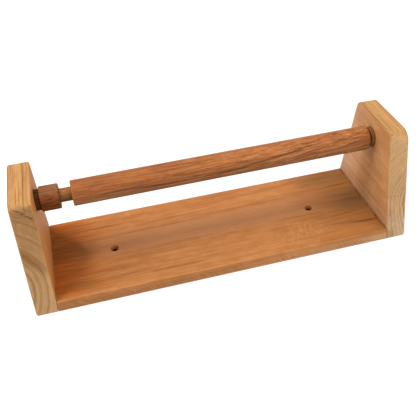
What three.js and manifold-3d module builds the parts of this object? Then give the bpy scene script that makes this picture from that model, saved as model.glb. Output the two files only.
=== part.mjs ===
// Wooden roll holder for a wall: a back board between two side panels, and a spring-loaded
// roller that turns in blind sockets in the panels.
// Millimetres. +X runs along the roller, +Z points out of the wall, and the origin is the
// middle of the back board's wall face.

import * as THREE from 'three';
import { mergeVertices } from 'three/addons/utils/BufferGeometryUtils.js';
import Module from 'manifold-3d';

// ---- Driving dimensions -------------------------------------------------------------------

const innerLength = 303;          // clear length between the side panels
const baseWidth = 108;            // along Y at the wall, board and panels alike
const boardThickness = 9.7;
const boardEdgeRadius = 0.9;

const panelThickness = 18.5;
const panelHeight = 99.8;         // from the wall
const panelTopWidth = 62.5;       // along Y, at the top
const panelTopRadius = 4;         // corners of the side profile
const panelBaseRadius = 0.9;      // more than the edge rounding
const panelEdgeRadius = 0.7;      // rounding round both big faces

const rollerHeight = 79.8;        // roller axis above the wall
const rodDiameter = 22;
const neckDiameter = 18;
const collarDiameter = 21.4;
const stemDiameter = 11.8;

const socketDepth = 8;
const socketClearance = 0.25;     // radial, neck in socket
const endFloat = 0.3;             // neck tip to socket floor

const collarStandoff = 4.2;       // left panel to collar
const collarLength = 16;
const stemShowing = 10.2;         // collar to rod: the plunger's travel
const rodStandoff = 4.3;          // rod to right panel
const stemInCap = 9;
const stemInRod = 26;
const pegInRod = 20;

const wallScrewSpacing = 190;     // between the two wall screw holes
const wallScrewHoleDiameter = 4.6;
const wallScrewRimDiameter = 8.2;
const wallScrewSinkDepth = 3;

const sideScrewSpread = 60;       // between the two screws of one panel, along Y
const sideScrewLength = 38;
const sideScrewDiameter = 3.2;
const sideScrewCoreDiameter = 2.2;
const sideScrewHeadDiameter = 5.4;
const sideScrewHeadDepth = 1.5;
const sideScrewTipLength = 4;
const threadPitch = 2.4;
const threadTurns = 8;
const plugDiameter = 6;
const plugLength = 5;

const springWire = 1;
const springDiameter = 10.4;      // outside
const springLength = 40;
const springTurns = 9;

const fitGap = 0.2;               // between pieces that touch or are glued
const slideGap = 0.2;             // radial, stem in the rod's bore

const rollerSteps = 48;           // facets round the roller and its sockets
const holeSteps = 24;             // facets round plugs and screw holes
const screwSteps = 12;

// ---- Places that follow from them ---------------------------------------------------------

const innerFace = innerLength / 2;
const outerFace = innerFace + panelThickness;
const neckTip = innerFace + socketDepth - endFloat;
const collarLeft = -innerFace + collarStandoff;
const collarRight = collarLeft + collarLength;
const rodLeft = collarRight + stemShowing;
const rodRight = innerFace - rodStandoff;
const stemLeft = collarRight - stemInCap;
const stemRight = rodLeft + stemInRod;
const rodBoreFloor = stemRight + springLength + 2 * fitGap;
const panelSlope = (baseWidth - panelTopWidth) / 2 / panelHeight;

const sideScrewZ = boardThickness / 2;
const screwHeadX = outerFace - plugLength - fitGap;
const screwTipX = screwHeadX - sideScrewLength;
const sideScrewRows = [
  ['front', -sideScrewSpread / 2],
  ['rear', sideScrewSpread / 2],
];

const wasm = await Module();
wasm.setup();

// ---- Materials ----------------------------------------------------------------------------

function wood(color) {
  return new THREE.MeshStandardMaterial({ color, roughness: 0.5, metalness: 0 });
}

function steel(color) {
  return new THREE.MeshStandardMaterial({ color, roughness: 0.35, metalness: 1 });
}

// ---- Shape helpers ------------------------------------------------------------------------

// A closed geometry as a solid that can be cut and joined.
function solid(geometry) {
  const bare = geometry.clone();
  bare.deleteAttribute('normal');
  bare.deleteAttribute('uv');
  const merged = mergeVertices(bare, 1e-4);
  const vertProperties = new Float32Array(merged.attributes.position.array);
  const triVerts = new Uint32Array(merged.index.array);
  return new wasm.Manifold(new wasm.Mesh({ numProp: 3, vertProperties, triVerts }));
}

// The solid's triangles as a geometry.
function geometryOf(body) {
  const mesh = body.getMesh();
  const geometry = new THREE.BufferGeometry();
  geometry.setAttribute('position', new THREE.BufferAttribute(mesh.vertProperties, 3));
  geometry.setIndex(new THREE.BufferAttribute(mesh.triVerts, 1));
  geometry.computeVertexNormals();
  return geometry;
}

function cut(geometry, cutters) {
  return geometryOf(cutters.reduce((body, cutter) => body.subtract(solid(cutter)), solid(geometry)));
}

// A turned shape about the X axis, from [x, radius] points that run round its outline.
function turned(points, steps) {
  const profile = points.map(([x, radius]) => new THREE.Vector2(radius, x));
  return new THREE.LatheGeometry(profile, steps).rotateZ(-Math.PI / 2);
}

// Outline points of a turned piece's rounded edge: its left end at x, or its right end.
function edgeArc(centreX, centreRadius, edge, fromAngle, toAngle, steps) {
  return Array.from({ length: steps + 1 }, (_, step) => {
    const angle = fromAngle + (toAngle - fromAngle) * (step / steps);
    return [centreX + edge * Math.cos(angle), centreRadius + edge * Math.sin(angle)];
  });
}

function leftEdge(x, radius, edge, steps = 3) {
  return edgeArc(x + edge, radius - edge, edge, Math.PI, Math.PI / 2, steps);
}

function rightEdge(x, radius, edge, steps = 3) {
  return edgeArc(x - edge, radius - edge, edge, Math.PI / 2, 0, steps);
}

// A round bar along X, to cut a round hole or fill one.
function roundBar(fromX, toX, radius, y, z, steps) {
  const bar = turned([[fromX, 0], [fromX, radius], [toX, radius], [toX, 0]], steps);
  return bar.translate(0, y, z);
}

// A convex outline with round corners, from [y, z, radius] corners listed anticlockwise.
function roundedOutline(corners) {
  const points = corners.map(([y, z]) => new THREE.Vector2(y, z));
  const outline = new THREE.Shape();
  points.forEach((point, index) => {
    const radius = corners[index][2];
    const before = points[(index + points.length - 1) % points.length];
    const after = points[(index + 1) % points.length];
    const toBefore = before.clone().sub(point).normalize();
    const toAfter = after.clone().sub(point).normalize();
    const halfAngle = Math.acos(toBefore.dot(toAfter)) / 2;
    const inward = toBefore.clone().add(toAfter).normalize();
    const centre = point.clone().addScaledVector(inward, radius / Math.sin(halfAngle));
    const reach = radius / Math.tan(halfAngle);
    const start = point.clone().addScaledVector(toBefore, reach).sub(centre);
    const end = point.clone().addScaledVector(toAfter, reach).sub(centre);
    outline.absarc(centre.x, centre.y, radius, start.angle(), end.angle(), false);
  });
  return outline;
}

// An outline drawn in Y and Z, extruded along X from fromX on, with rounded end edges.
function extrudedAlongX(outline, fromX, length, edgeRadius) {
  const geometry = new THREE.ExtrudeGeometry(outline, {
    depth: length - 2 * edgeRadius,
    steps: 1,
    curveSegments: 4,
    bevelEnabled: edgeRadius > 0,
    bevelThickness: edgeRadius,
    bevelSize: edgeRadius,
    bevelOffset: -edgeRadius,
    bevelSegments: 4,
  });
  const axes = new THREE.Matrix4().makeBasis(
    new THREE.Vector3(0, 1, 0),
    new THREE.Vector3(0, 0, 1),
    new THREE.Vector3(1, 0, 0),
  );
  return geometry.applyMatrix4(axes).translate(fromX + edgeRadius, 0, 0);
}

// The sloping-sided outline that the board and the panels share, up to a height.
function slopedOutline(height, baseRadius, topRadius) {
  const halfBase = baseWidth / 2;
  const halfTop = halfBase - height * panelSlope;
  return roundedOutline([
    [-halfBase, 0, baseRadius],
    [halfBase, 0, baseRadius],
    [halfTop, height, topRadius],
    [-halfTop, height, topRadius],
  ]);
}

// ---- Fixed pieces -------------------------------------------------------------------------

// One wall screw hole: a straight hole with a cone at the board's open face.
function wallScrewCutter(x) {
  const hole = wallScrewHoleDiameter / 2;
  const rim = wallScrewRimDiameter / 2;
  const cutter = turned([
    [-1, 0],
    [-1, hole],
    [boardThickness - wallScrewSinkDepth, hole],
    [boardThickness, rim],
    [boardThickness + 1, rim],
    [boardThickness + 1, 0],
  ], holeSteps);
  return cutter.rotateY(-Math.PI / 2).translate(x, 0, 0);
}

function backBoard() {
  const outline = slopedOutline(boardThickness, boardEdgeRadius, boardEdgeRadius);
  const plank = extrudedAlongX(outline, -innerFace + fitGap, innerLength - 2 * fitGap, 0);
  const cutters = [-1, 1].map((side) => wallScrewCutter(side * wallScrewSpacing / 2));
  const pilotRadius = sideScrewDiameter / 2 + fitGap;
  const pilotEnd = screwTipX - 1;
  for (const [, y] of sideScrewRows) {
    cutters.push(roundBar(-innerFace - 1, -pilotEnd, pilotRadius, y, sideScrewZ, holeSteps));
    cutters.push(roundBar(pilotEnd, innerFace + 1, pilotRadius, y, sideScrewZ, holeSteps));
  }
  return cut(plank, cutters);
}

// A side panel with its socket and screw holes, on the right; the left one is turned round.
function sidePanel(side) {
  const outline = slopedOutline(panelHeight, panelBaseRadius, panelTopRadius);
  const slab = extrudedAlongX(outline, innerFace, panelThickness, panelEdgeRadius);
  const socketRadius = neckDiameter / 2 + socketClearance;
  const shankRadius = sideScrewDiameter / 2 + fitGap;
  const headRadius = plugDiameter / 2 + fitGap;
  const headSeat = screwHeadX - sideScrewHeadDepth - fitGap;
  const cutters = [
    roundBar(innerFace - 1, innerFace + socketDepth, socketRadius, 0, rollerHeight, rollerSteps),
  ];
  for (const [, y] of sideScrewRows) {
    cutters.push(roundBar(innerFace - 1, headSeat + 1, shankRadius, y, sideScrewZ, holeSteps));
    cutters.push(roundBar(headSeat, outerFace + 1, headRadius, y, sideScrewZ, holeSteps));
  }
  return facing(side, cut(slab, cutters));
}

// Turns a piece made for the right end (side 1) half round for the left end (side -1).
function facing(side, geometry) {
  return side < 0 ? geometry.rotateZ(Math.PI) : geometry;
}

// A countersunk wood screw with a cross recess, driven in through a side panel.
function sideScrew(side, y) {
  const core = sideScrewCoreDiameter / 2;
  const crest = sideScrewDiameter / 2;
  const head = sideScrewHeadDiameter / 2;
  const headRim = 0.3;
  const threadStart = screwTipX + sideScrewTipLength;
  const points = [[screwTipX, 0], [threadStart, core]];
  for (let turn = 0; turn < threadTurns; turn += 1) {
    const middle = threadStart + (turn + 0.5) * threadPitch;
    points.push([middle - threadPitch / 4, core], [middle, crest], [middle + threadPitch / 4, core]);
  }
  const threadEnd = threadStart + threadTurns * threadPitch;
  points.push(
    [threadEnd, core],
    [threadEnd + 1, crest],
    [screwHeadX - sideScrewHeadDepth, crest],
    [screwHeadX - headRim, head],
    [screwHeadX, head],
    [screwHeadX, 0],
  );
  const recessLength = head * 1.3;
  const recessWidth = 0.9;
  const recessDepth = 1;
  const recesses = [[recessLength, recessWidth], [recessWidth, recessLength]].map(([wide, tall]) => (
    new THREE.BoxGeometry(2 * recessDepth, wide, tall).translate(screwHeadX, 0, 0)
  ));
  const screw = cut(turned(points, screwSteps), recesses);
  return facing(side, screw).translate(0, y, sideScrewZ);
}

// A wooden plug over a screw head, flush with the panel's outer face.
function screwPlug(side, y) {
  const plug = roundBar(outerFace - plugLength, outerFace, plugDiameter / 2, 0, 0, holeSteps);
  return facing(side, plug).translate(0, y, sideScrewZ);
}

// ---- Roller pieces ------------------------------------------------------------------------

function onRollerAxis(points) {
  return turned(points, rollerSteps).translate(0, 0, rollerHeight);
}

// The long rod, bored at the left for the plunger and its spring, and at the right for the peg.
function rollerRod() {
  const radius = rodDiameter / 2;
  const springBore = stemDiameter / 2 + slideGap;
  const pegBore = stemDiameter / 2 + fitGap;
  const pegBoreFloor = rodRight - pegInRod - fitGap;
  return onRollerAxis([
    [rodBoreFloor, 0],
    [rodBoreFloor, springBore],
    [rodLeft, springBore],
    ...leftEdge(rodLeft, radius, 0.6, 2),
    ...rightEdge(rodRight, radius, 2.4, 5),
    [rodRight, pegBore],
    [pegBoreFloor, pegBore],
    [pegBoreFloor, 0],
  ]);
}

// The fixed end: a neck that turns in the right socket, on a dowel glued into the rod.
function rollerEndPeg() {
  const neck = neckDiameter / 2;
  const dowel = stemDiameter / 2;
  return onRollerAxis([
    [rodRight - pegInRod, 0],
    [rodRight - pegInRod, dowel],
    [rodRight + fitGap, dowel],
    [rodRight + fitGap, neck],
    ...rightEdge(neckTip, neck, 1),
    [neckTip, 0],
  ]);
}

// The sprung end: a neck that turns in the left socket and a collar to grip, bored for the stem.
function plungerEndCap() {
  const neck = neckDiameter / 2;
  const collar = collarDiameter / 2;
  const bore = stemDiameter / 2 + fitGap;
  const boreFloor = stemLeft - fitGap;
  return onRollerAxis([
    [-neckTip, 0],
    ...leftEdge(-neckTip, neck, 1),
    [collarLeft, neck],
    ...leftEdge(collarLeft, collar, 0.8),
    ...rightEdge(collarRight, collar, 0.8),
    [collarRight, bore],
    [boreFloor, bore],
    [boreFloor, 0],
  ]);
}

// The dowel between the end cap and the rod, glued in the cap and sliding in the rod.
function plungerStem() {
  const radius = stemDiameter / 2;
  return onRollerAxis([
    [stemLeft, 0],
    ...leftEdge(stemLeft, radius, 0.5, 2),
    ...rightEdge(stemRight, radius, 0.5, 2),
    [stemRight, 0],
  ]);
}

// A helix about the X axis, the middle line of the spring's wire.
class Helix extends THREE.Curve {
  constructor(fromX, toX, radius, turns) {
    super();
    Object.assign(this, { fromX, toX, radius, turns });
  }

  getPoint(t, target = new THREE.Vector3()) {
    const angle = t * this.turns * 2 * Math.PI;
    const x = this.fromX + (this.toX - this.fromX) * t;
    return target.set(x, this.radius * Math.cos(angle), this.radius * Math.sin(angle));
  }
}

// The compression spring in the rod's bore, between the stem and the bore's floor.
function plungerSpring() {
  const wireRadius = springWire / 2;
  const section = new THREE.Shape();
  section.absarc(0, 0, wireRadius, 0, 2 * Math.PI, false);
  const fromX = stemRight + fitGap + wireRadius;
  const toX = fromX + springLength - springWire;
  const coil = new THREE.ExtrudeGeometry(section, {
    steps: springTurns * 14,
    curveSegments: 4,
    bevelEnabled: false,
    extrudePath: new Helix(fromX, toX, springDiameter / 2 - wireRadius, springTurns),
  });
  return coil.translate(0, 0, rollerHeight);
}

// ---- Assembly -----------------------------------------------------------------------------

const holder = new THREE.Group();

function addPiece(name, geometry, material) {
  const piece = new THREE.Mesh(geometry, material);
  piece.name = name;
  holder.add(piece);
}

addPiece('back_board', backBoard(), wood(0xb8683a));
for (const [name, side] of [['left', -1], ['right', 1]]) {
  addPiece(`${name}_side_panel`, sidePanel(side), wood(0xd09050));
  for (const [row, y] of sideScrewRows) {
    addPiece(`${name}_${row}_screw`, sideScrew(side, y), steel(0xb0b0a8));
    addPiece(`${name}_${row}_plug`, screwPlug(side, y), wood(0xb07038));
  }
}
addPiece('roller_rod', rollerRod(), wood(0xb85c28));
addPiece('roller_end_peg', rollerEndPeg(), wood(0x4a2010));
addPiece('plunger_end_cap', plungerEndCap(), wood(0x4a2010));
addPiece('plunger_stem', plungerStem(), wood(0x8a5a28));
addPiece('plunger_spring', plungerSpring(), steel(0x9a9a96));

export default holder;
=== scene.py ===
"""Looks of the wooden roll holder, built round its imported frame."""

import math

import bpy
import bmesh
from mathutils import Matrix, Vector


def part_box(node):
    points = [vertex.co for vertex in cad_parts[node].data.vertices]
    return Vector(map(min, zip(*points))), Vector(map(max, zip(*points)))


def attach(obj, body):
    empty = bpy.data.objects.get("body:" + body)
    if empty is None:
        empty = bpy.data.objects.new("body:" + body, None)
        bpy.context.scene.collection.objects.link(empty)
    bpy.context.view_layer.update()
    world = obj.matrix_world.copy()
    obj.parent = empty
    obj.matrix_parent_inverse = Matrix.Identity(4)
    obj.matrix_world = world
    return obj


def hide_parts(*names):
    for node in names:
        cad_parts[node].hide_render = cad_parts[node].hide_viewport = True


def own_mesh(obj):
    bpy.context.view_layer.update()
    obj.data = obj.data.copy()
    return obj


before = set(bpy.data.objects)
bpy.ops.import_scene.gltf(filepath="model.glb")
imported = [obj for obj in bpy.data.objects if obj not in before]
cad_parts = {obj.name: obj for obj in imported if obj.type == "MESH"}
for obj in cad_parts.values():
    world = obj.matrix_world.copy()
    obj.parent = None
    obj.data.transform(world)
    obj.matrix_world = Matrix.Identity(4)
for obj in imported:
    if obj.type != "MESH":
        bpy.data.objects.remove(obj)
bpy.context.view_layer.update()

MM = 0.001

# ---- Sizes ---------------------------------------------------------------------------------

# Taken from the frame.
board_low, board_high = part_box("back_board")
left_low, left_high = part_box("left_side_panel")
right_low, right_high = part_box("right_side_panel")
rod_low, rod_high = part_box("roller_rod")
cap_low, cap_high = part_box("plunger_end_cap")
stem_low, stem_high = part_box("plunger_stem")
peg_low, peg_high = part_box("roller_end_peg")
spring_low, spring_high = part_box("plunger_spring")

AXIS_Z = (rod_low.z + rod_high.z) / 2
ROD_RADIUS = (rod_high.y - rod_low.y) / 2
COLLAR_RADIUS = (cap_high.y - cap_low.y) / 2
NECK_RADIUS = (peg_high.y - peg_low.y) / 2
STEM_RADIUS = (stem_high.y - stem_low.y) / 2
SPRING_RADIUS = (spring_high.y - spring_low.y) / 2
BOARD_THICKNESS = board_high.z
PANEL_HEIGHT = right_high.z

# The same as in the CAD model, but not readable from its boxes.
PANEL_TOP_HALF = 31.25 * MM
BASE_HALF = 54 * MM
PANEL_SLOPE = (BASE_HALF - PANEL_TOP_HALF) / PANEL_HEIGHT
COLLAR_LENGTH = 16 * MM
SOCKET_DEPTH = 8 * MM
SOCKET_RADIUS = NECK_RADIUS + 0.25 * MM
WALL_SCREW_X = 95 * MM
WALL_HOLE_RADIUS = 2.3 * MM
WALL_RIM_RADIUS = 4.1 * MM
WALL_SINK_DEPTH = 3 * MM
SIDE_SCREW_Y = 30 * MM
SIDE_SCREW_Z = BOARD_THICKNESS / 2
FIT_GAP = 0.2 * MM
BORE_RADIUS = STEM_RADIUS + FIT_GAP

# Details that differ from the CAD model, or that only this model has.
SIDE_HOLE_RADIUS = 1.8 * MM
SIDE_HOLE_END_X = 125 * MM
PLUG_HOLE_RADIUS = 3.1 * MM
PLUG_HOLE_DEPTH = 7 * MM
SOCKET_CHAMFER = 0.3 * MM
BOARD_ROUNDING = 0.9 * MM
PEG_GROOVE = 0.8 * MM
SHARP_DEGREES = 32
OVERSHOOT = 1 * MM  # how far a cutter runs past a face


# ---- Camera, lights and floor --------------------------------------------------------------

def make_camera():
    """A 52 mm lens, looking down from the front left, with a slight roll."""
    azimuth = math.radians(12.87)
    elevation = math.radians(38.91)
    roll = math.radians(-3.26)
    place = (-0.1009, -0.4196, 0.3821)
    data = bpy.data.cameras.new("camera")
    data.lens = 52.1
    data.sensor_width = 36
    camera = bpy.data.objects.new("camera", data)
    turn = Matrix.Rotation(-azimuth, 4, "Z")
    turn = turn @ Matrix.Rotation(math.pi / 2 - elevation, 4, "X")
    turn = turn @ Matrix.Rotation(roll, 4, "Z")
    camera.matrix_world = Matrix.Translation(place) @ turn
    bpy.context.scene.collection.objects.link(camera)
    bpy.context.scene.camera = camera


def add_area_light(name, place, size, power):
    """A white rectangle of light that faces the middle of the holder."""
    middle = Vector((0, 0, 0.04))
    data = bpy.data.lights.new(name, "AREA")
    data.shape = "RECTANGLE"
    data.size, data.size_y = size
    data.energy = power
    light = bpy.data.objects.new(name, data)
    light.location = place
    light.rotation_euler = (middle - Vector(place)).to_track_quat("-Z", "Y").to_euler()
    bpy.context.scene.collection.objects.link(light)


def make_light():
    """A high key light, a broad top light, two fills and a white surround."""
    add_area_light("key", (-0.58, -0.04, 1.3), (0.4, 0.25), 9)
    add_area_light("top", (0.05, 0.1, 1.6), (2.0, 2.0), 11)
    add_area_light("left_fill", (-1.3, 0.35, 0.75), (0.8, 0.8), 9)
    add_area_light("front_fill", (0.9, -1.2, 0.7), (1.0, 1.0), 8)
    world = bpy.data.worlds.new("studio")
    world.use_nodes = True
    background = world.node_tree.nodes["Background"]
    background.inputs["Color"].default_value = (1, 1, 1, 1)
    background.inputs["Strength"].default_value = 0.7
    bpy.context.scene.world = world
    bpy.context.scene.view_settings.view_transform = "Standard"


def make_floor():
    """A white plane, bright enough by itself to look like blank paper."""
    half = 4
    corners = [(-half, -half, 0), (half, -half, 0), (half, half, 0), (-half, half, 0)]
    mesh = bpy.data.meshes.new("floor")
    mesh.from_pydata(corners, [], [(0, 1, 2, 3)])
    graph = Graph("floor_white")
    graph.shader.inputs["Base Color"].default_value = (0.2, 0.2, 0.2, 1)
    graph.shader.inputs["Roughness"].default_value = 0.8
    graph.shader.inputs["Emission Color"].default_value = (1, 1, 1, 1)
    graph.shader.inputs["Emission Strength"].default_value = 0.8
    new_object("floor", mesh, graph.material)


# ---- Material helpers ----------------------------------------------------------------------

class Graph:
    """Short calls that build one material's nodes. Sockets and plain values mix freely."""

    def __init__(self, name):
        self.material = bpy.data.materials.new(name)
        self.material.use_nodes = True
        self.tree = self.material.node_tree
        self.shader = self.tree.nodes["Principled BSDF"]

    def node(self, kind, **settings):
        made = self.tree.nodes.new(kind)
        for key, value in settings.items():
            setattr(made, key, value)
        return made

    def put(self, value, socket):
        if isinstance(value, bpy.types.NodeSocket):
            self.tree.links.new(value, socket)
        else:
            socket.default_value = value

    def math(self, operation, *values):
        made = self.node("ShaderNodeMath", operation=operation)
        for value, socket in zip(values, made.inputs):
            self.put(value, socket)
        return made.outputs[0]

    def add(self, first, second):
        return self.math("ADD", first, second)

    def times(self, first, second):
        return self.math("MULTIPLY", first, second)

    def times_add(self, value, factor, offset):
        return self.math("MULTIPLY_ADD", value, factor, offset)

    def length(self, first, second):
        """The length of a vector with these two parts."""
        squares = self.add(self.times(first, first), self.times(second, second))
        return self.math("SQRT", squares)

    def ramp(self, value, start, end):
        """0 at start, 1 at end, smooth between and flat beyond. Start may be the higher one."""
        made = self.node("ShaderNodeMapRange", interpolation_type="SMOOTHSTEP")
        self.put(value, made.inputs["Value"])
        made.inputs["From Min"].default_value = min(start, end)
        made.inputs["From Max"].default_value = max(start, end)
        made.inputs["To Min"].default_value = 0 if start < end else 1
        made.inputs["To Max"].default_value = 1 if start < end else 0
        return made.outputs["Result"]

    def vector(self, x, y, z):
        made = self.node("ShaderNodeCombineXYZ")
        for value, socket in zip((x, y, z), made.inputs):
            self.put(value, socket)
        return made.outputs[0]

    def noise(self, vector, detail, roughness=0.5):
        """Smooth noise from 0 to 1, with features about one unit across."""
        made = self.node("ShaderNodeTexNoise")
        self.put(vector, made.inputs["Vector"])
        made.inputs["Scale"].default_value = 1.0
        made.inputs["Detail"].default_value = detail
        made.inputs["Roughness"].default_value = roughness
        return made.outputs["Fac"]

    def mix(self, share, first, second):
        # A Mix node's colour sockets come after those for numbers and vectors.
        made = self.node("ShaderNodeMix", data_type="RGBA")
        colour_inputs = made.inputs[6], made.inputs[7]
        self.put(share, made.inputs["Factor"])
        self.put(first, colour_inputs[0])
        self.put(second, colour_inputs[1])
        return made.outputs[2]

    def bump(self, height, distance, strength):
        made = self.node("ShaderNodeBump")
        made.inputs["Strength"].default_value = strength
        made.inputs["Distance"].default_value = distance
        self.put(height, made.inputs["Height"])
        self.put(made.outputs["Normal"], self.shader.inputs["Normal"])


def rgb(colour):
    return (*colour, 1)


def scaled(colour, factor):
    return tuple(factor * value for value in colour)


class Wood(Graph):
    """Solid wood. Its figure fills space, so it runs on round every edge. Lengths are in mm.

    x, y and z are the piece's own coordinates. w runs along the fibre, and u and v across it.
    The growth rings are round a pith line along the fibre. Colours are laid on one by one:
    each stain covers the ones before it by its share, from 0 to 1.
    """

    def __init__(self, name, fibre, seed, bend=None):
        super().__init__(name)
        coordinates = self.node("ShaderNodeTexCoord")
        split = self.node("ShaderNodeSeparateXYZ")
        self.put(coordinates.outputs["Object"], split.inputs[0])
        self.x, self.y, self.z = (self.times(value, 1 / MM) for value in split.outputs)
        split = self.node("ShaderNodeSeparateXYZ")
        self.put(coordinates.outputs["Normal"], split.inputs[0])
        facing = dict(zip("XYZ", split.outputs))[fibre]
        self.end_grain = self.ramp(self.math("ABSOLUTE", facing), 0.55, 0.9)
        self.seed = seed
        axes = {
            "X": (self.y, self.z, self.x),
            "Y": (self.x, self.z, self.y),
            "Z": (self.x, self.y, self.z),
        }
        self.u, self.v, self.w = axes[fibre]
        if bend:
            self.v = self.add(self.v, bend(self))

    def streaks(self, width, length, detail, shift):
        """Noise drawn out along the fibre."""
        spot = self.vector(
            self.times(self.u, 1 / width),
            self.times(self.v, 1 / width),
            self.times_add(self.w, 1 / length, self.seed + shift),
        )
        return self.noise(spot, detail, 0.6)

    def warp(self, amount, width, length, shift):
        """Bends the figure sideways by up to about the amount."""
        first = self.streaks(width, length, 2, shift)
        second = self.streaks(width, length, 2, shift + 31)
        self.u = self.add(self.u, self.times_add(first, 2 * amount, -amount))
        self.v = self.add(self.v, self.times_add(second, 2 * amount, -amount))

    def rings(self, pith, spacing, lean, unevenness, sharpness):
        """Late-wood lines, each with its own depth. Every line darkens slowly and ends fast."""
        u = self.times_add(self.w, lean[0], self.add(self.u, -pith[0]))
        v = self.times_add(self.w, lean[1], self.add(self.v, -pith[1]))
        radius = self.length(u, v)
        drift = self.noise(self.vector(self.times(radius, 0.5 / spacing), self.seed, 0), 2)
        count = self.add(self.times(radius, 1 / spacing), self.times(drift, unevenness * 2))
        phase = self.math("FRACT", count)
        number = self.math("FLOOR", count)
        depth = self.noise(self.vector(self.times(number, 0.73), self.seed + 2, 0), 0)
        depth = self.ramp(depth, 0.3, 0.62)
        line = self.times(self.ramp(phase, 1 - sharpness, 0.95), self.ramp(phase, 1, 0.95))
        return self.times(line, depth)

    def mark(self, along, across, centre, half_length, half_width, slope=0.0):
        """A soft streak, drawn in two of the coordinates, that runs through the whole depth."""
        past = self.add(along, -centre[0])
        off = self.add(self.times_add(past, -slope, across), -centre[1])
        along_share = self.times(past, 1 / half_length)
        off_share = self.times(off, 1 / half_width)
        distance = self.add(
            self.times(along_share, along_share),
            self.times(off_share, off_share),
        )
        return self.ramp(distance, 1, 0)

    def worn_and_highlit_edges(self):
        """1 along rounded edges, in patches, and 0 on flat faces. Users paint these edges paler:
        partly wear, partly a painted highlight on the rounding.
        """
        bevel = self.node("ShaderNodeBevel", samples=4)
        bevel.inputs["Radius"].default_value = 1.6 * MM
        true_normal = self.node("ShaderNodeNewGeometry").outputs["Normal"]
        match = self.node("ShaderNodeVectorMath", operation="DOT_PRODUCT")
        self.put(bevel.outputs[0], match.inputs[0])
        self.put(true_normal, match.inputs[1])
        edge = self.ramp(match.outputs["Value"], 0.995, 0.93)
        return self.times(edge, self.ramp(self.streaks(7, 18, 3, 40), 0.35, 0.6))

    def start_colour(self, share, first, second):
        self.colour = self.mix(share, rgb(first), rgb(second))

    def stain(self, share, colour, strength=1.0):
        if strength != 1.0:
            share = self.times(share, strength)
        self.colour = self.mix(share, self.colour, rgb(colour))

    def stain_in(self, area, share, colour, strength):
        """A stain that stays inside an area."""
        self.stain(self.times(area, share), colour, strength)

    def draw_lines(self, along, across, lines, colour, area=None, strength=1.0):
        """Marks given as centre, half length, half width, slope and strength."""
        for centre, half_length, half_width, slope, own_strength in lines:
            share = self.mark(along, across, centre, half_length, half_width, slope)
            if area is not None:
                share = self.times(area, share)
            self.stain(share, colour, strength * own_strength)

    def finish(self, fibres, pores, roughness=0.6, specular=0.1):
        self.put(self.colour, self.shader.inputs["Base Color"])
        self.put(self.times_add(fibres, 0.2, roughness - 0.1), self.shader.inputs["Roughness"])
        self.shader.inputs["Specular IOR Level"].default_value = specular
        self.bump(self.add(fibres, self.times(pores, -1)), 0.12 * MM, 0.5)
        return self.material


# ---- Board ---------------------------------------------------------------------------------

# Dark lines along the board: centre (x, y), half length, half width, slope, strength.
BOARD_LINES = (
    ((-105, 33), 30, 1.1, -0.01, 0.8),
    ((-118, 37), 18, 0.8, -0.02, 0.4),
    ((-60, 18), 85, 1.2, 0.005, 0.5),
    ((60, 23), 85, 1.2, 0.035, 0.45),
    ((135, 25.5), 26, 1.3, 0.03, 0.8),
    ((140, -33.5), 20, 1.9, -0.03, 0.95),
    ((120, -31), 20, 1.2, -0.05, 0.45),
    ((-45, -40), 40, 1.8, -0.01, 0.5),
    ((-135, -17), 24, 1.5, -0.1, 0.55),
    ((-90, -36), 30, 1.2, -0.04, 0.4),
    ((115, -19), 30, 1.5, 0.04, 0.45),
    ((104, -25), 16, 1.4, 0.1, 0.35),
    ((20, 38), 70, 1.0, 0.02, 0.35),
    ((-20, 28), 60, 0.9, 0.03, 0.3),
    ((-100, -27), 40, 3.0, -0.02, 0.3),
    ((-60, -18), 50, 2.0, 0.0, 0.25),
)


def board_wood():
    """Warm brown plank, with long soft bands, a few dark lines and darker ends."""
    wood = Wood("board_wood", "X", 21.7)
    wood.warp(2.0, 26, 150, 1)
    wood.warp(0.5, 5, 45, 7)
    broad = wood.streaks(9, 190, 3, 2)
    medium = wood.streaks(2.6, 90, 3, 3)
    thin = wood.streaks(1.0, 60, 2, 8)
    fibres = wood.streaks(0.6, 22, 3, 4)
    pores = wood.ramp(wood.streaks(0.35, 5, 1, 5), 0.62, 0.75)
    wood.start_colour(wood.ramp(fibres, 0.3, 0.7), (0.455, 0.186, 0.059), (0.38, 0.143, 0.042))
    wood.stain(wood.ramp(broad, 0.42, 0.62), (0.36, 0.129, 0.034), 0.7)
    wood.stain(wood.ramp(medium, 0.5, 0.7), (0.28, 0.092, 0.022), 0.52)
    wood.stain(wood.ramp(thin, 0.56, 0.72), (0.23, 0.074, 0.017), 0.38)
    wood.stain(wood.rings((8, -95), 7, (0.02, 0.03), 1.5, 0.6), (0.27, 0.092, 0.024), 0.25)
    board_clouds(wood)
    board_left_end(wood)
    board_right_end(wood)
    wood.draw_lines(wood.x, wood.u, BOARD_LINES, (0.11, 0.040, 0.012), strength=0.75)
    board_ripple(wood)
    board_front_edge(wood)
    board_screw_holes(wood)
    wood.stain(pores, (0.15, 0.055, 0.016), 0.35)
    wood.stain(wood.end_grain, (0.26, 0.10, 0.035), 0.4)
    # Paler rounded edges: wear together with a painted highlight.
    wood.stain(wood.worn_and_highlit_edges(), (0.54, 0.28, 0.12), 0.5)
    return wood.finish(fibres, pores)


def board_clouds(wood):
    """Pale and dark clouds, a rosy band along the middle and a slightly darker left part."""
    cloud = wood.noise(wood.vector(wood.times(wood.x, 0.06), wood.times(wood.u, 0.11), 8.0), 3)
    wood.stain(wood.ramp(cloud, 0.45, 0.7), (0.50, 0.235, 0.095), 0.26)
    wood.stain(wood.ramp(cloud, 0.5, 0.28), (0.31, 0.105, 0.024), 0.35)
    rosy = wood.times(wood.ramp(wood.u, 21, 16), wood.ramp(wood.u, -10, -6))
    wood.stain(rosy, (0.42, 0.180, 0.074), 0.7)
    left_part = wood.times(wood.ramp(wood.x, -40, -90), wood.ramp(wood.y, -48, -36))
    wood.stain(left_part, (0.29, 0.096, 0.022), 0.16)


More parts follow.
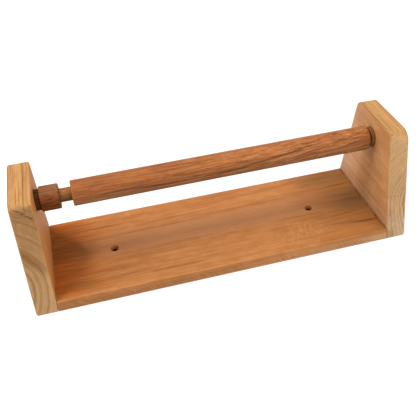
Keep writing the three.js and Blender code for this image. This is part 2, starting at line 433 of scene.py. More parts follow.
def board_left_end(wood):
    """Red, partly the wood's tint and partly painted shade, with a painted shadow of the panel in
    the back corner, uneven streaks and two brown patches.
    """
    # Deep red by the left panel: partly the wood's own tint, partly painted shade.
    red = wood.times(wood.ramp(wood.x, -92, -148), wood.ramp(wood.y, -54, -40))
    wood.stain(red, (0.34, 0.074, 0.003), 0.88)
    # Painted shadow of the left panel in the back-left corner, with a wavy diagonal edge.
    uneven = wood.times_add(wood.streaks(7, 30, 2, 12), 8, -4)
    corner = wood.times_add(wood.x, 0.8, wood.times_add(wood.y, 0.71, uneven))
    panel_shadow = wood.times(wood.ramp(corner, -83, -93), wood.ramp(wood.y, -18, 6))
    panel_shadow = wood.times(panel_shadow, wood.ramp(wood.x, -112, -125))
    wood.stain(panel_shadow, (0.125, 0.038, 0.001), 0.68)
    streaks = wood.streaks(2.2, 45, 3, 17)
    end = wood.ramp(wood.x, -70, -125)
    wood.stain_in(end, wood.ramp(streaks, 0.52, 0.66), (0.44, 0.150, 0.030), 0.3)
    wood.stain_in(end, wood.ramp(streaks, 0.48, 0.36), (0.13, 0.036, 0.003), 0.34)
    wood.stain(wood.mark(wood.x, wood.y, (-118, 5), 14, 13), (0.17, 0.066, 0.020), 0.25)
    wood.stain(wood.mark(wood.x, wood.y, (-128, -38), 22, 9), (0.20, 0.078, 0.018), 0.45)


def board_right_end(wood):
    """Olive brown, with painted shade under the roller's end and by the panel, streaks, a dark
    joint at the panel and a warm patch in front.
    """
    wood.stain(wood.ramp(wood.x, 70, 135), (0.25, 0.092, 0.021), 0.76)
    # Painted shade under the roller's end, next to the right panel.
    middle = wood.mark(wood.x, wood.u, (140, 2), 60, 24)
    wood.stain_in(wood.ramp(wood.x, 116, 136), middle, (0.195, 0.100, 0.036), 0.55)
    # Painted shade, darkening softly towards the right panel.
    wood.stain(wood.mark(wood.x, wood.u, (155, -14), 36, 36), (0.20, 0.084, 0.022), 0.25)
    wood.stain(wood.mark(wood.x, wood.y, (130, 42), 48, 18), (0.17, 0.078, 0.024), 0.5)
    streaks = wood.streaks(2.4, 45, 3, 19)
    end = wood.times(wood.ramp(wood.x, 50, 105), wood.ramp(wood.z, 9, 9.6))
    wood.stain_in(end, wood.ramp(streaks, 0.52, 0.66), (0.45, 0.160, 0.038), 0.25)
    wood.stain_in(end, wood.ramp(streaks, 0.48, 0.36), (0.15, 0.056, 0.014), 0.25)
    wood.stain(wood.mark(wood.x, wood.y, (151.8, -34), 2.6, 22), (0.09, 0.026, 0.004), 0.85)
    wood.stain(wood.ramp(wood.x, 149.9, 150.9), (0.16, 0.034, 0.004), 0.78)
    patch = wood.mark(wood.x, wood.u, (122, -44), 34, 9)
    wood.stain_in(patch, wood.ramp(wood.x, 148, 140), (0.43, 0.158, 0.042), 0.42)


def board_ripple(wood):
    """Short pale and dark bars across the fibre, in front and left of the right screw hole."""
    spot = wood.vector(wood.times(wood.x, 0.35), wood.times(wood.y, 0.16), 3.0)
    ripple = wood.noise(spot, 3)
    near = wood.mark(wood.x, wood.y, (78, -32), 34, 22)
    wood.stain_in(near, wood.ramp(ripple, 0.5, 0.7), (0.50, 0.225, 0.085), 0.45)
    wood.stain_in(near, wood.ramp(ripple, 0.5, 0.3), (0.28, 0.100, 0.026), 0.4)


def board_front_edge(wood):
    """Sawn face, from brown at the left to pale at the right, with slanting saw marks and painted
    shade along its foot.
    """
    edge = wood.ramp(wood.y, -51.7, -53)
    wood.stain_in(edge, wood.ramp(wood.x, 60, -60), (0.28, 0.115, 0.040), 0.75)
    wood.stain_in(edge, wood.ramp(wood.x, -20, 120), (0.42, 0.218, 0.100), 0.6)
    wood.stain_in(edge, wood.ramp(wood.x, 110, 150), (0.52, 0.33, 0.16), 0.4)
    # Painted shade along the foot of the front face, where the board meets the floor.
    wood.stain_in(edge, wood.ramp(wood.z, 1.6, 0.3), (0.17, 0.062, 0.018), 0.6)
    streaks = wood.ramp(wood.streaks(1.3, 40, 3, 15), 0.42, 0.68)
    wood.stain_in(edge, streaks, (0.22, 0.080, 0.024), 0.38)
    slant = wood.times(wood.add(wood.x, wood.z), 0.8)
    saw_marks = wood.noise(wood.vector(slant, wood.times(wood.z, 0.12), 5.0), 3)
    wood.stain_in(edge, wood.ramp(saw_marks, 0.5, 0.68), (0.48, 0.26, 0.12), 0.3)
    wood.stain_in(edge, wood.ramp(saw_marks, 0.46, 0.3), (0.22, 0.090, 0.034), 0.35)


def board_screw_holes(wood):
    """Painted shade in the countersinks: red-brown on the cone and nearly black down the bore."""
    for x in (-WALL_SCREW_X / MM, WALL_SCREW_X / MM):
        shaded_recess = wood.ramp(wood.mark(wood.x, wood.y, (x, 0), 5, 5), 0.05, 0.3)
        # Painted shade: red-brown on the countersink cone, nearly black in the bore.
        wood.stain_in(shaded_recess, wood.ramp(wood.z, 9.7, 9.3), (0.34, 0.095, 0.018), 0.9)
        wood.stain_in(shaded_recess, wood.ramp(wood.z, 7.2, 6.6), (0.02, 0.006, 0.001), 0.95)


# ---- Side panels ---------------------------------------------------------------------------

# How the wood of the two panels differs. Each pith is (x, z).
LEFT_PLANK = {
    "pith": (-198, 27),
    "ring_spacing": 5.2,
    "stretch_below_pith": 0.8,
    "ring_strength": 0.6,
    "fine_ring_strength": 0.38,
    "light": (0.48, 0.245, 0.088),
    "deep": (0.40, 0.192, 0.062),
    "inner_face": (0.56, 0.200, 0.050),
    "end_grain": (0.46, 0.285, 0.135),
}
RIGHT_PLANK = {
    "pith": (186, 35),
    "ring_spacing": 3.2,
    "stretch_below_pith": 0.45,
    "ring_strength": 0.78,
    "fine_ring_strength": 0.45,
    "light": (0.52, 0.285, 0.104),
    "deep": (0.45, 0.228, 0.079),
    "inner_face": (0.43, 0.190, 0.078),
    "end_grain": (0.485, 0.305, 0.150),
}

# Single dark lines: centre, half length, half width, slope, strength. A centre is (y, x) on the
# top faces, (x, z) on the front end and (y, z) on the inner face.
LEFT_TOP_LINES = (
    ((0, -157.3), 70, 0.7, 0, 0.7),
    ((6, -168.9), 60, 0.6, 0, 0.6),
    ((-18, -163), 22, 0.5, 0, 0.4),
    ((10, -164.5), 26, 0.5, 0, 0.35),
    ((-8, -160.5), 30, 0.4, 0, 0.35),
    ((0, -154.5), 40, 0.5, 0, 0.25),
)
LEFT_FRONT_CHECKS = (
    ((-164, 95.5), 7, 0.9, -0.45, 0.75),
    ((-159.5, 92.5), 2.5, 0.9, -0.3, 0.8),
    ((-157, 90), 3, 0.8, -0.5, 0.7),
    ((-165, 91), 5, 0.6, -0.5, 0.5),
    ((-154.5, 88), 2.2, 1.6, -0.5, 0.6),
    ((-166, 86.5), 4, 0.5, -0.4, 0.4),
)
RIGHT_TOP_LINES = (
    ((2, 167.2), 34, 0.6, 0, 0.5),
    ((-14, 165.3), 24, 0.5, 0, 0.35),
    ((0, 168.9), 60, 0.9, 0, 0.7),
    ((6, 152.5), 44, 0.9, 0, 0.85),
)
RIGHT_INNER_LINES = (
    ((0, 42), 60, 1.2, 0, 0.3),
    ((0, 23.5), 60, 1.1, 0, 0.35),
    ((0, 17), 60, 1, 0, 0.35),
    ((0, 12), 60, 1, 0, 0.25),
    ((0, 60), 60, 0.8, 0, 0.15),
    ((0, 71), 60, 0.8, 0, 0.15),
)


def panel_wood(side, plank):
    """Golden plank. Growth-ring arcs on the front ends, straight lines elsewhere."""
    left = side < 0
    wood = Wood("left_panel_wood" if left else "right_panel_wood", "Y", 11.3 + side * 2.7)
    wood.warp(1.4, 20, 180, 1)
    wood.warp(0.35, 4, 60, 7)
    broad = wood.streaks(8, 120, 3, 2)
    medium = wood.streaks(1.4, 60, 3, 3)
    fibres = wood.streaks(0.5, 14, 3, 4)
    pores = wood.ramp(wood.streaks(0.3, 4, 1, 5), 0.62, 0.75)
    inner = wood.ramp(wood.times(wood.x, side), 153, 151.6)
    light, deep = plank["light"], plank["deep"]
    wood.start_colour(wood.ramp(fibres, 0.3, 0.7), light, deep)
    wood.stain(wood.ramp(broad, 0.42, 0.62), scaled(deep, 0.85), 0.6)
    wood.stain(inner, plank["inner_face"], 0.65)
    wood.stain(wood.end_grain, plank["end_grain"], 0.7)
    if left:
        left_end_grain_painted_light(wood)
    else:
        right_panel_shades(wood, inner)
    mottle = panel_mottle(wood)
    wood.stain(wood.ramp(mottle, 0.5, 0.32), scaled(deep, 0.72), 0.4)
    wood.stain(wood.ramp(mottle, 0.52, 0.7), scaled(light, 1.2), 0.3)
    calm = wood.times_add(inner, -0.4, 1)
    along = wood.times(wood.times_add(wood.end_grain, -0.75, 1), calm)
    wood.stain_in(wood.ramp(medium, 0.48, 0.7), along, (0.24, 0.098, 0.028), 0.65)
    panel_rings(wood, left, plank, calm)
    top = wood.ramp(wood.z, 92, 97)
    if left:
        wood.draw_lines(wood.y, wood.u, LEFT_TOP_LINES, (0.16, 0.050, 0.012), top)
        wood.draw_lines(wood.x, wood.z, LEFT_FRONT_CHECKS, (0.09, 0.036, 0.012), wood.end_grain)
    else:
        wood.draw_lines(wood.y, wood.u, RIGHT_TOP_LINES, (0.18, 0.062, 0.016), top)
        wood.draw_lines(wood.y, wood.z, RIGHT_INNER_LINES, (0.17, 0.065, 0.02))
    wood.stain_in(pores, along, (0.2, 0.09, 0.03), 0.35)
    # Paler rounded edges: wear together with a painted highlight.
    wood.stain(wood.worn_and_highlit_edges(), (0.50, 0.27, 0.10), 0.35)
    return wood.finish(fibres, pores)


def left_end_grain_painted_light(wood):
    """The end grain darkens upwards: painted light, paler low down as if lit from the floor."""
    wood.stain_in(wood.end_grain, wood.ramp(wood.z, 12, 85), (0.26, 0.125, 0.044), 0.75)


def right_panel_shades(wood, inner):
    """Pale low end grain with a brown foot, and an inner face of several tones, with painted shade
    in its crease above the board.
    """
    wood.stain_in(wood.end_grain, wood.ramp(wood.z, 45, 8), (0.50, 0.37, 0.23), 0.6)
    foot = wood.mark(wood.x, wood.z, (154, 4), 8, 6)
    wood.stain_in(wood.end_grain, foot, (0.34, 0.155, 0.060), 0.5)
    wood.stain_in(inner, wood.ramp(wood.y, -4, 38), (0.55, 0.315, 0.18), 0.72)
    wood.stain_in(inner, wood.ramp(wood.z, 68, 84), (0.34, 0.140, 0.045), 0.35)
    wood.stain_in(inner, wood.ramp(wood.z, 34, 14), (0.42, 0.215, 0.125), 0.5)
    # Painted shade in the crease where the inner face meets the board.
    wood.stain_in(inner, wood.ramp(wood.z, 11.4, 10.4), (0.20, 0.060, 0.012), 0.6)


def panel_mottle(wood):
    """Noise for pale and dark patches, 4 to 14 mm across."""
    x = wood.times(wood.x, 0.25)
    y = wood.times(wood.y, 0.07)
    z = wood.times_add(wood.z, 0.12, wood.seed)
    return wood.noise(wood.vector(x, y, z), 4, 0.65)


def panel_rings(wood, left, plank, calm):
    """Broad and fine growth rings, clearest on the end grain."""
    pith_x, pith_z = plank["pith"]
    # Below the pith's height the rings are stretched, so that they run almost straight down.
    height = wood.add(wood.v, -pith_z)
    above = wood.math("MAXIMUM", height, 0)
    below = wood.times(wood.math("MINIMUM", height, 0), plank["stretch_below_pith"])
    wood.v = wood.add(above, below)
    clear = wood.times(wood.times_add(wood.end_grain, 0.5, 0.3), calm)
    if left:
        radius = wood.length(wood.add(wood.u, -pith_x), wood.v)
        band = wood.mark(radius, wood.z, (44, 54), 6, 22)
        wood.stain_in(band, wood.end_grain, (0.21, 0.082, 0.022), 0.65)
    else:
        clear = wood.times(clear, wood.times_add(wood.ramp(wood.z, 75, 55), 0.7, 0.3))
    lean = (0, 0.02)
    spacing = plank["ring_spacing"]
    broad = wood.rings((pith_x, 0), spacing, lean, 0.8, 0.55)
    wood.stain_in(broad, clear, (0.14, 0.060, 0.019), plank["ring_strength"])
    fine = wood.rings((pith_x, 0), spacing / 2.3, lean, 0.8, 0.8)
    wood.stain_in(fine, clear, (0.18, 0.080, 0.024), plank["fine_ring_strength"])


# ---- Roller --------------------------------------------------------------------------------

# Dark lines in the rod: centre (x, height over the axis), half length, half width, slope, strength.
ROD_LINES = (
    ((-80, 1.2), 28, 1.3, 0.0, 0.6),
    ((-95, -1.5), 18, 0.8, 0.0, 0.4),
    ((-40, -1), 36, 1.4, 0.0, 0.7),
    ((-15, 1.5), 22, 0.7, 0.02, 0.45),
    ((10, 0), 34, 1.1, 0.03, 0.65),
    ((45, 3.5), 20, 0.8, 0.08, 0.7),
    ((68, 5.5), 18, 0.7, 0.1, 0.85),
    ((85, 7.8), 15, 0.5, 0.09, 0.65),
    ((95, 4.5), 24, 0.6, 0.09, 0.5),
    ((118, 7.5), 18, 0.6, 0.09, 0.6),
    ((30, 6), 15, 0.5, 0.05, 0.5),
    ((112, 1), 28, 0.8, 0.05, 0.4),
    ((60, 1), 26, 0.8, 0.06, 0.5),
    ((-100, 8.5), 22, 0.4, 0.0, 0.3),
    ((-30, 9.4), 42, 0.4, 0.0, 0.35),
    ((132, 4), 16, 0.6, 0.06, 0.4),
    ((-20, 5), 20, 0.5, 0.02, 0.4),
    ((78, 9.3), 20, 0.4, 0.05, 0.4),
)


def rod_climb(wood):
    """Makes the rod's figure climb, faster and faster, to the right of x = -30."""
    past = wood.math("MAXIMUM", wood.add(wood.x, 30), 0)
    return wood.times(wood.math("POWER", past, 2), -0.0004)


def rod_wood():
    """Red-brown wood with dark lines that climb towards the right end, a painted highlight along
    its top and a greyer, partly painted shade below.
    """
    wood = Wood("rod_wood", "X", 5.1, rod_climb)
    wood.warp(1.4, 14, 70, 1)
    wood.warp(0.4, 3, 24, 7)
    broad = wood.streaks(5, 110, 3, 2)
    golden = wood.streaks(1.3, 70, 2, 9)
    pale = wood.streaks(0.7, 26, 2, 11)
    thin = wood.streaks(0.6, 34, 2, 13)
    medium = wood.streaks(1.5, 42, 3, 3)
    fibres = wood.streaks(0.45, 12, 3, 4)
    pores = wood.ramp(wood.streaks(0.45, 6, 1, 5), 0.6, 0.7)
    height = wood.add(wood.z, -AXIS_Z / MM)
    wood.start_colour(wood.ramp(fibres, 0.3, 0.7), (0.37, 0.124, 0.030), (0.28, 0.086, 0.019))
    wood.stain(wood.ramp(broad, 0.42, 0.62), (0.20, 0.060, 0.014), 0.5)
    # Painted highlight: paler along the top of the rod.
    wood.stain(wood.ramp(height, 4.5, 9), (0.47, 0.168, 0.042), 0.22)
    # Greyer and darker below the axis: partly the wood's tone, partly painted shade.
    wood.stain(wood.ramp(height, 4, -4), (0.225, 0.115, 0.048), 0.64)
    wood.stain(wood.ramp(golden, 0.48, 0.66), (0.52, 0.190, 0.052), 0.56)
    wood.stain(wood.ramp(pale, 0.54, 0.68), (0.58, 0.30, 0.150), 0.38)
    wood.stain(wood.ramp(thin, 0.52, 0.68), (0.15, 0.042, 0.012), 0.55)
    wood.stain(wood.ramp(medium, 0.47, 0.65), (0.115, 0.033, 0.009), 0.62)
    wood.stain(wood.ramp(wood.x, 60, -90), (0.22, 0.056, 0.011), 0.42)
    underside = wood.ramp(height, 1, -5)
    wood.stain_in(underside, wood.ramp(wood.x, -10, -100), (0.27, 0.155, 0.072), 0.45)
    wavy_height = wood.add(height, wood.times_add(wood.streaks(6, 14, 2, 6), 2.0, -1.0))
    wood.draw_lines(wood.x, wavy_height, ROD_LINES, (0.045, 0.018, 0.008))
    wood.stain(pores, (0.08, 0.025, 0.01), 0.55)
    wood.stain(wood.end_grain, (0.25, 0.085, 0.026), 0.5)
    # Paler rounded edges: wear together with a painted highlight.
    wood.stain(wood.worn_and_highlit_edges(), (0.42, 0.17, 0.055), 0.3)
    return wood.finish(fibres, pores, 0.5, 0.15)


def small_wood(name, fibre, seed, light, deep, pore, top_highlight=None, top=None, worn_until=None):
    """A plain wood for small pieces, which can carry a painted highlight on top and be worn dark at
    the left.

    The painted top highlight is full at a height of top above the roller's axis.
    """
    wood = Wood(name, fibre, seed)
    wood.warp(0.8, 9, 30, 1)
    medium = wood.streaks(1.6, 16, 3, 3)
    fibres = wood.streaks(0.5, 8, 3, 4)
    pores = wood.ramp(wood.streaks(0.35, 3, 1, 5), 0.6, 0.72)
    wood.start_colour(wood.ramp(fibres, 0.3, 0.7), light, scaled(light, 0.62))
    if top_highlight is not None:
        axis = AXIS_Z / MM
        # Painted highlight along the top.
        wood.stain(wood.ramp(wood.z, axis + 0.4 * top, axis + top), top_highlight, 0.72)
    wood.stain(wood.ramp(medium, 0.45, 0.65), deep, 0.75)
    wood.stain(pores, pore, 0.5)
    wood.stain(wood.end_grain, deep, 0.5)
    if worn_until is not None:
        wood.stain(wood.ramp(wood.x, worn_until + 0.5, worn_until), pore, 0.7)
    return wood.finish(fibres, pores, 0.55, 0.1)


def cap_wood():
    """Dark red-brown wood. The neck, which turns in the socket, has worn nearly black."""
    light, deep, pore = (0.20, 0.055, 0.008), (0.068, 0.014, 0.001), (0.040, 0.006, 0.001)
    neck_end = (cap_high.x - COLLAR_LENGTH) / MM
    # Painted highlight on the collar's top.
    top_highlight = (0.24, 0.098, 0.038)
    return small_wood("dark_wood", "X", 8.4, light, deep, pore, top_highlight, 10, neck_end)


def stem_wood():
    light, deep, pore = (0.22, 0.090, 0.025), (0.10, 0.038, 0.008), (0.06, 0.020, 0.005)
    # Painted highlight on the stem's top.
    top_highlight = (0.35, 0.125, 0.036)
    return small_wood("stem_wood", "X", 3.9, light, deep, pore, top_highlight, 5)


def peg_wood():
    light, deep, pore = (0.26, 0.108, 0.027), (0.15, 0.054, 0.013), (0.06, 0.02, 0.005)
    return small_wood("peg_wood", "X", 6.6, light, deep, pore)


# ---- Screws, plugs and spring --------------------------------------------------------------

def plug_wood():
    light, deep, pore = (0.36, 0.16, 0.05), (0.2, 0.08, 0.025), (0.1, 0.04, 0.012)
    return small_wood("plug_wood", "Z", 14.2, light, deep, pore)


def steel_material(name, colour):
    """Steel whose colour and shine vary from millimetre to millimetre."""
    graph = Graph(name)
    place = graph.node("ShaderNodeTexCoord").outputs["Object"]
    fine = graph.node("ShaderNodeMapping")
    graph.put(place, fine.inputs["Vector"])
    fine.inputs["Scale"].default_value = (900, 900, 900)
    spots = graph.noise(fine.outputs[0], 3)
    tint = graph.mix(graph.ramp(spots, 0.3, 0.7), rgb(colour), rgb(scaled(colour, 0.8)))
    graph.put(tint, graph.shader.inputs["Base Color"])
    graph.shader.inputs["Metallic"].default_value = 1
    graph.put(graph.times_add(spots, 0.2, 0.25), graph.shader.inputs["Roughness"])
    return graph.material


# ---- Shape helpers -------------------------------------------------------------------------

def new_object(name, mesh, material=None):
    made = bpy.data.objects.new(name, mesh)
    bpy.context.scene.collection.objects.link(made)
    if material is not None:
        mesh.materials.append(material)
    return made


def face_out(mesh):
    """Joins doubled points and turns every face outwards."""
    same_place = 0.001 * MM
    work = bmesh.new()
    work.from_mesh(mesh)
    bmesh.ops.remove_doubles(work, verts=work.verts, dist=same_place)
    bmesh.ops.recalc_face_normals(work, faces=work.faces)
    work.to_mesh(mesh)
    work.free()


def mesh_from_rings(name, rings, closed_ends=True):
    """A mesh whose rings of points follow each other, with flat ends if they are closed."""
    count = len(rings[0])
    points = [point for ring in rings for point in ring]
    faces = []
    for row in range(len(rings) - 1):
        for step in range(count):
            after = (step + 1) % count
            a, b = row * count + step, row * count + after
            faces.append((a, b, b + count, a + count))
    if closed_ends:
        faces.append(tuple(reversed(range(count))))
        faces.append(tuple(range((len(rings) - 1) * count, len(rings) * count)))
    mesh = bpy.data.meshes.new(name)
    mesh.from_pydata(points, [], faces)
    face_out(mesh)
    return mesh


def turned_mesh(name, profile, steps=96, axis=(0, AXIS_Z)):
    """A solid of revolution about a line along X, from (x, radius) points, ends on the axis."""
    rings = []
    for x, radius in profile:
        ring = []
        for step in range(steps):
            angle = 2 * math.pi * step / steps
            y = axis[0] + radius * math.cos(angle)
            z = axis[1] + radius * math.sin(angle)
            ring.append((x, y, z))
        rings.append(ring)
    return mesh_from_rings(name, rings, closed_ends=False)


def rounded_end(x, radius, edge, side, steps=5):
    """Profile points, left to right, that round the rim of an end at x.

    The end faces right if side is 1 and left if side is -1.
    """
    points = []
    for step in range(steps + 1):
        angle = math.pi / 2 * step / steps
        inwards = edge * (1 - math.sin(angle))
        points.append((x - side * inwards, radius - edge * (1 - math.cos(angle))))
    return points if side > 0 else points[::-1]


def trapezoid_ring(x, height, inset, base_radius, front_radius, back_radius, steps=8):
    """Points round the side outline at x, moved inwards by inset, with rounded corners."""
    smallest_radius = 0.15 * MM
    slant = math.hypot(1, PANEL_SLOPE)
    low, high = inset, height - inset
    half_low = BASE_HALF - low * PANEL_SLOPE - inset * slant
    half_high = BASE_HALF - high * PANEL_SLOPE - inset * slant
    corners = [
        (-half_low, low, base_radius),
        (half_low, low, base_radius),
        (half_high, high, back_radius),
        (-half_high, high, front_radius),
    ]
    points = []
    for index, (y, z, radius) in enumerate(corners):
        radius = max(radius - inset, smallest_radius)
        corner = Vector((y, z))
        before = (Vector(corners[index - 1][:2]) - corner).normalized()
        after = (Vector(corners[(index + 1) % 4][:2]) - corner).normalized()
        half_angle = before.angle(after) / 2
        centre = corner + (before + after).normalized() * (radius / math.sin(half_angle))
        start = corner + before * (radius / math.tan(half_angle)) - centre
        sweep = math.pi - 2 * half_angle
        for step in range(steps + 1):
            angle = math.atan2(start.y, start.x) + sweep * step / steps
            point_y = centre.x + radius * math.cos(angle)
            point_z = centre.y + radius * math.sin(angle)
            points.append((x, point_y, point_z))
    return points


def bar_cutter(from_x, to_x, radius, y, z, steps=48, chamfer=0.0):
    """A round cutter along X. With a chamfer its from_x end widens by it."""
    direction = 1 if to_x > from_x else -1
    outside = from_x - direction * OVERSHOOT
    profile = [(outside, 0), (outside, radius + chamfer)]
    if chamfer:
        profile.append((from_x, radius + chamfer))
        profile.append((from_x + direction * chamfer, radius))
    profile += [(to_x, radius), (to_x, 0)]
    return new_object("cutter", turned_mesh("cutter", profile, steps, (y, z)))


def wall_screw_cutter(x):
    """A bore through the board at x, with a countersink at its top."""
    top = BOARD_THICKNESS + OVERSHOOT
    profile = [
        (-OVERSHOOT, 0),
        (-OVERSHOOT, WALL_HOLE_RADIUS),
        (BOARD_THICKNESS - WALL_SINK_DEPTH, WALL_HOLE_RADIUS),
        (BOARD_THICKNESS, WALL_RIM_RADIUS),
        (top, WALL_RIM_RADIUS),
        (top, 0),
    ]
    mesh = turned_mesh("cutter", profile, 48, (0, 0))
    upright = Matrix.Rotation(-math.pi / 2, 4, "Y")
    mesh.transform(Matrix.Translation((x, 0, 0)) @ upright)
    return new_object("cutter", mesh)


def apply_modifiers(piece):
    graph = bpy.context.evaluated_depsgraph_get()
    mesh = bpy.data.meshes.new_from_object(piece.evaluated_get(graph))
    piece.modifiers.clear()
    piece.data = mesh


def carve(piece, cutters):
    """Cuts the cutters' shapes out of the piece, and deletes them."""
    for cutter in cutters:
        step = piece.modifiers.new("carve", "BOOLEAN")
        step.operation = "DIFFERENCE"
        step.solver = "EXACT"
        step.object = cutter
        bpy.context.view_layer.update()
        apply_modifiers(piece)
        bpy.data.objects.remove(cutter)


def finish_surface(piece):
    """Smooth shading with sharp edges kept, and normals that keep big faces flat."""
    mesh = piece.data
    mesh.polygons.foreach_set("use_smooth", [True] * len(mesh.polygons))
    work = bmesh.new()
    work.from_mesh(mesh)
    limit = math.radians(SHARP_DEGREES)
    for edge in work.edges:
        edge.smooth = len(edge.link_faces) == 2 and edge.calc_face_angle(0) < limit
    work.to_mesh(mesh)
    work.free()
    weighted = piece.modifiers.new("flat_faces", "WEIGHTED_NORMAL")
    weighted.keep_sharp = True
    apply_modifiers(piece)


# ---- Pieces --------------------------------------------------------------------------------

def panel_outlines(side, inner_x, outer_x):
    """The panel's outlines, from its lightly rounded inner face to its well rounded outer face."""
    inner_radius, outer_radius = 0.9 * MM, 2.4 * MM
    base_corner, inner_top_corner = 0.9 * MM, 4.5 * MM
    back_top_corner = 5 * MM
    front_top_corner = 13 * MM if side > 0 else 9 * MM
    steps = 6
    angles = [math.pi / 2 * step / steps for step in range(steps + 1)]
    rings = []
    for angle in angles:
        inset = inner_radius * (1 - math.sin(angle))
        x = inner_x + side * inner_radius * (1 - math.cos(angle))
        corners = (base_corner, inner_top_corner, inner_top_corner)
        rings.append(trapezoid_ring(x, PANEL_HEIGHT, inset, *corners))
    for angle in angles:
        inset = outer_radius * (1 - math.cos(angle))
        x = outer_x - side * outer_radius * (1 - math.sin(angle))
        corners = (base_corner, front_top_corner, back_top_corner)
        rings.append(trapezoid_ring(x, PANEL_HEIGHT, inset, *corners))
    return rings


def side_panel(name, side, low_x, high_x, material):
    """A slab with rounded edges, a blind socket inside and two plugged screw holes outside."""
    inner_x, outer_x = (low_x, high_x) if side > 0 else (high_x, low_x)
    mesh = mesh_from_rings(name, panel_outlines(side, inner_x, outer_x))
    piece = new_object(name, mesh, material)
    socket_floor = inner_x + side * SOCKET_DEPTH
    plug_floor = outer_x - side * PLUG_HOLE_DEPTH
    past_inner = inner_x - side * OVERSHOOT
    cutters = [bar_cutter(inner_x, socket_floor, SOCKET_RADIUS, 0, AXIS_Z, 96, SOCKET_CHAMFER)]
    for y in (-SIDE_SCREW_Y, SIDE_SCREW_Y):
        cutters.append(bar_cutter(outer_x, plug_floor, PLUG_HOLE_RADIUS, y, SIDE_SCREW_Z))
        cutters.append(bar_cutter(outer_x, past_inner, SIDE_HOLE_RADIUS, y, SIDE_SCREW_Z))
    carve(piece, cutters)
    finish_surface(piece)
    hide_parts(name.removesuffix("_looks"))
    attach(piece, "frame")


def back_board(material):
    """The plank between the panels, with two countersunk holes and four screw holes in its ends."""
    corners = (BOARD_ROUNDING, BOARD_ROUNDING, BOARD_ROUNDING)
    ends = (board_low.x, board_high.x)
    rings = [trapezoid_ring(x, BOARD_THICKNESS, 0, *corners, 6) for x in ends]
    mesh = mesh_from_rings("back_board_looks", rings)
    piece = new_object("back_board_looks", mesh, material)
    cutters = [wall_screw_cutter(x) for x in (-WALL_SCREW_X, WALL_SCREW_X)]
    for side, end in zip((-1, 1), ends):
        hole_end = side * SIDE_HOLE_END_X
        for y in (-SIDE_SCREW_Y, SIDE_SCREW_Y):
            cutters.append(bar_cutter(end, hole_end, SIDE_HOLE_RADIUS, y, SIDE_SCREW_Z, 24))
    carve(piece, cutters)
    finish_surface(piece)
    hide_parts("back_board")
    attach(piece, "frame")


def roller_piece(name, node, profile, body, material):
    """A turned piece that takes a CAD node's place on a moving body."""
    piece = new_object(name, turned_mesh(name, profile), material)
    finish_surface(piece)
    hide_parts(node)
    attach(piece, body)


def roller_rod():
    """The rod, bored from the left for the stem and spring and from the right for the peg."""
    left_rounding, right_rounding = 0.6 * MM, 2.8 * MM
    left_bore_floor = spring_high.x + FIT_GAP
    right_bore_floor = peg_low.x - FIT_GAP
    profile = [(left_bore_floor, 0), (left_bore_floor, BORE_RADIUS), (rod_low.x, BORE_RADIUS)]
    profile += rounded_end(rod_low.x, ROD_RADIUS, left_rounding, -1, 3)
    profile += rounded_end(rod_high.x, ROD_RADIUS, right_rounding, 1, 7)
    profile += [(rod_high.x, BORE_RADIUS), (right_bore_floor, BORE_RADIUS), (right_bore_floor, 0)]
    roller_piece("roller_rod_looks", "roller_rod", profile, "roller", rod_wood())


def roller_end_peg():
    """A tenon in the rod, a fine groove, and the neck that turns in the right socket."""
    groove_rounding, tip_rounding = 0.3 * MM, 1 * MM
    groove_left = rod_high.x + FIT_GAP
    groove_right = groove_left + PEG_GROOVE
    profile = [(peg_low.x, 0), (peg_low.x, STEM_RADIUS)]
    profile += [(groove_left, STEM_RADIUS), (groove_right, STEM_RADIUS)]
    profile += rounded_end(groove_right, NECK_RADIUS, groove_rounding, -1, 2)
    profile += rounded_end(peg_high.x, NECK_RADIUS, tip_rounding, 1)
    profile += [(peg_high.x, 0)]
    roller_piece("roller_end_peg_looks", "roller_end_peg", profile, "roller",
                 peg_wood())


def plunger_end_cap():
    """The neck that turns in the left socket, and the collar, bored for the stem."""
    tip_rounding, collar_rounding = 1 * MM, 0.8 * MM
    collar_left = cap_high.x - COLLAR_LENGTH
    bore_floor = stem_low.x - FIT_GAP
    profile = [(cap_low.x, 0)]
    profile += rounded_end(cap_low.x, NECK_RADIUS, tip_rounding, -1)
    profile += [(collar_left, NECK_RADIUS)]
    profile += rounded_end(collar_left, COLLAR_RADIUS, collar_rounding, -1)
    profile += rounded_end(cap_high.x, COLLAR_RADIUS, collar_rounding, 1)
    profile += [(cap_high.x, BORE_RADIUS), (bore_floor, BORE_RADIUS), (bore_floor, 0)]
    roller_piece("plunger_end_cap_looks", "plunger_end_cap", profile, "plunger",
                 cap_wood())


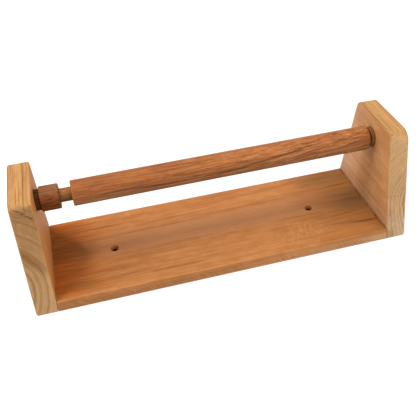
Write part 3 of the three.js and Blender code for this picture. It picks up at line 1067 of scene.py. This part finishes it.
def plunger_stem():
    """The dowel that slides in the rod."""
    rounding = 0.5 * MM
    profile = [(stem_low.x, 0)]
    profile += rounded_end(stem_low.x, STEM_RADIUS, rounding, -1, 3)
    profile += rounded_end(stem_high.x, STEM_RADIUS, rounding, 1, 3)
    profile += [(stem_high.x, 0)]
    roller_piece("plunger_stem_looks", "plunger_stem", profile, "plunger",
                 stem_wood())


def spring(material):
    """The coil in the rod's bore."""
    wire_radius = 0.5 * MM
    turns, turn_steps, wire_steps = 9, 28, 8
    coil_radius = SPRING_RADIUS - wire_radius
    from_x, to_x = spring_low.x + wire_radius, spring_high.x - wire_radius
    total = turns * turn_steps
    rings = []
    for step in range(total + 1):
        share = step / total
        angle = 2 * math.pi * turns * share
        out = Vector((0, math.cos(angle), math.sin(angle)))
        middle = Vector((from_x + (to_x - from_x) * share, 0, AXIS_Z)) + out * coil_radius
        ring = []
        for point in range(wire_steps):
            turn = 2 * math.pi * point / wire_steps
            along = Vector((wire_radius * math.sin(turn), 0, 0))
            ring.append(middle + out * (wire_radius * math.cos(turn)) + along)
        rings.append(ring)
    mesh = mesh_from_rings("plunger_spring_looks", rings)
    piece = new_object("plunger_spring_looks", mesh, material)
    finish_surface(piece)
    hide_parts("plunger_spring")
    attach(piece, "roller")
    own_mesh(piece)


def paint_cad_node(node, material):
    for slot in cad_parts[node].material_slots:
        slot.material = material


# ---- Scene ---------------------------------------------------------------------------------

make_camera()
make_light()
make_floor()

left_wood = panel_wood(-1, LEFT_PLANK)
right_wood = panel_wood(1, RIGHT_PLANK)
side_panel("left_side_panel_looks", -1, left_low.x, left_high.x, left_wood)
side_panel("right_side_panel_looks", 1, right_low.x, right_high.x, right_wood)
back_board(board_wood())
roller_rod()
roller_end_peg()
plunger_end_cap()
plunger_stem()
spring(steel_material("spring_steel", (0.5, 0.5, 0.49)))

screw_steel = steel_material("screw_steel", (0.62, 0.61, 0.56))
plug_material = plug_wood()
for side in ("left", "right"):
    for row in ("front", "rear"):
        paint_cad_node(f"{side}_{row}_screw", screw_steel)
        paint_cad_node(f"{side}_{row}_plug", plug_material)
